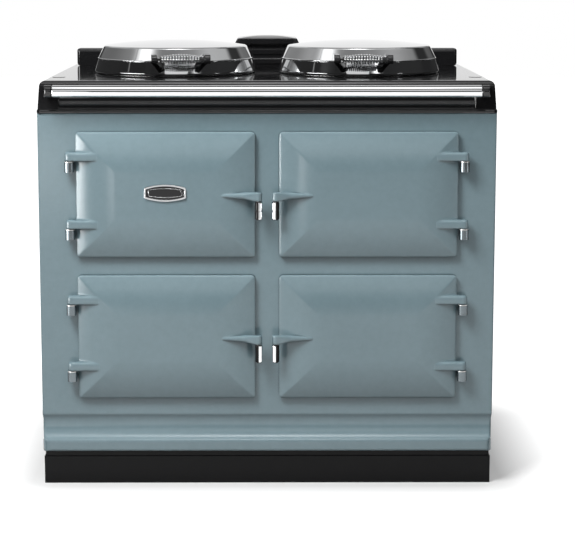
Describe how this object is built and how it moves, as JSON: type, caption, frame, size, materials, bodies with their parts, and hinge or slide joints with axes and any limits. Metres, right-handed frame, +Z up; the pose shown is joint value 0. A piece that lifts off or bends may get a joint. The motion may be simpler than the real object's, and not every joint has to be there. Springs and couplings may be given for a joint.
{
  "type": "range cooker",
  "caption": "Cast iron range cooker with side-hung oven doors, domed lids over its hotplates, a front hand rail and a plinth.",
  "frame": {"origin": "on the floor, under the middle of the cooker's bounding box", "axes": "+X to the cooker's right as seen from the front, +Y to its back, +Z up"},
  "size_m": [0.99, 0.698, 0.9645],
  "materials": {
    "enamel": "vitreous enamel, gloss, grey blue",
    "black_enamel": "vitreous enamel, gloss, black",
    "plinth_paint": "satin black paint",
    "chrome": "polished chrome",
    "bright_steel": "brushed",
    "plated_steel": "bright zinc plate",
    "ground_iron": "machined and seasoned",
    "oven_iron": "matt vitreous lining",
    "seal_rope": "woven heat seal",
    "knob_black": "satin black",
    "badge_black": "gloss black enamel"
  },
  "bodies": {
    "range": {"plinth": "plinth_paint", "levelling_feet": "plated_steel", "base_plate": "plinth_paint", "front_plate": "enamel", "left_side_panel": "enamel", "right_side_panel": "enamel", "back_panel": "plinth_paint", "top_plate": "black_enamel", "corner_caps": "black_enamel", "left_hotplate": "ground_iron", "right_hotplate": "ground_iron", "hotplate_rings": "bright_steel", "heating_elements": "plated_steel", "rear_upstand": "black_enamel", "vent_stack": "black_enamel", "vent_cap": "black_enamel", "hand_rail": "chrome", "rail_brackets": "black_enamel", "roasting_oven": "oven_iron", "baking_oven": "oven_iron", "simmering_oven": "oven_iron", "oven_shelves": "plated_steel", "control_box": "plated_steel", "control_panel": "black_enamel", "door_seals": "seal_rope", "door_hinge_brackets": "enamel", "hinge_pins": "plated_steel", "lid_hinge_brackets": "black_enamel"},
    "control_door": {"control_door": "enamel", "control_door_liner": "bright_steel", "control_door_grip": "chrome", "control_door_spindle": "black_enamel", "badge_rim": "chrome", "badge_face": "badge_black"},
    "roasting_door": {"roasting_door": "enamel", "roasting_door_liner": "bright_steel", "roasting_door_grip": "chrome", "roasting_door_spindle": "black_enamel"},
    "simmering_door": {"simmering_door": "enamel", "simmering_door_liner": "bright_steel", "simmering_door_grip": "chrome", "simmering_door_spindle": "black_enamel"},
    "baking_door": {"baking_door": "enamel", "baking_door_liner": "bright_steel", "baking_door_grip": "chrome", "baking_door_spindle": "black_enamel"},
    "left_lid": {"left_lid": "chrome", "left_lid_liner": "bright_steel", "left_lid_arm": "black_enamel", "left_handle_posts": "black_enamel", "left_handle_coil": "chrome"},
    "right_lid": {"right_lid": "chrome", "right_lid_liner": "bright_steel", "right_lid_arm": "black_enamel", "right_handle_posts": "black_enamel", "right_handle_coil": "chrome"},
    "knob_1": {"knob_1": "knob_black"},
    "knob_2": {"knob_2": "knob_black"},
    "knob_3": {"knob_3": "knob_black"},
    "knob_4": {"knob_4": "knob_black"}
  },
  "joints": [
    {"name": "control_door_hinge", "type": "hinge", "parent": "range", "child": "control_door", "pos_m": [-0.424, -0.321, 0.645], "axis": [0, 0, -1], "range_deg": [0, 115]},
    {"name": "roasting_door_hinge", "type": "hinge", "parent": "range", "child": "roasting_door", "pos_m": [0.424, -0.321, 0.645], "axis": [0, 0, 1], "range_deg": [0, 115]},
    {"name": "simmering_door_hinge", "type": "hinge", "parent": "range", "child": "simmering_door", "pos_m": [-0.424, -0.321, 0.333], "axis": [0, 0, -1], "range_deg": [0, 115]},
    {"name": "baking_door_hinge", "type": "hinge", "parent": "range", "child": "baking_door", "pos_m": [0.424, -0.321, 0.333], "axis": [0, 0, 1], "range_deg": [0, 115]},
    {"name": "left_lid_hinge", "type": "hinge", "parent": "range", "child": "left_lid", "pos_m": [-0.212, 0.234, 0.91], "axis": [-1, 0, 0], "range_deg": [0, 85]},
    {"name": "right_lid_hinge", "type": "hinge", "parent": "range", "child": "right_lid", "pos_m": [0.212, 0.234, 0.91], "axis": [-1, 0, 0], "range_deg": [0, 85]},
    {"name": "knob_1_turn", "type": "hinge", "parent": "range", "child": "knob_1", "pos_m": [-0.3235, -0.223, 0.645], "axis": [0, 1, 0], "range_deg": [0, 270]},
    {"name": "knob_2_turn", "type": "hinge", "parent": "range", "child": "knob_2", "pos_m": [-0.2535, -0.223, 0.645], "axis": [0, 1, 0], "range_deg": [0, 270]},
    {"name": "knob_3_turn", "type": "hinge", "parent": "range", "child": "knob_3", "pos_m": [-0.1835, -0.223, 0.645], "axis": [0, 1, 0], "range_deg": [0, 270]},
    {"name": "knob_4_turn", "type": "hinge", "parent": "range", "child": "knob_4", "pos_m": [-0.1135, -0.223, 0.645], "axis": [0, 1, 0], "range_deg": [0, 270]}
  ]
}
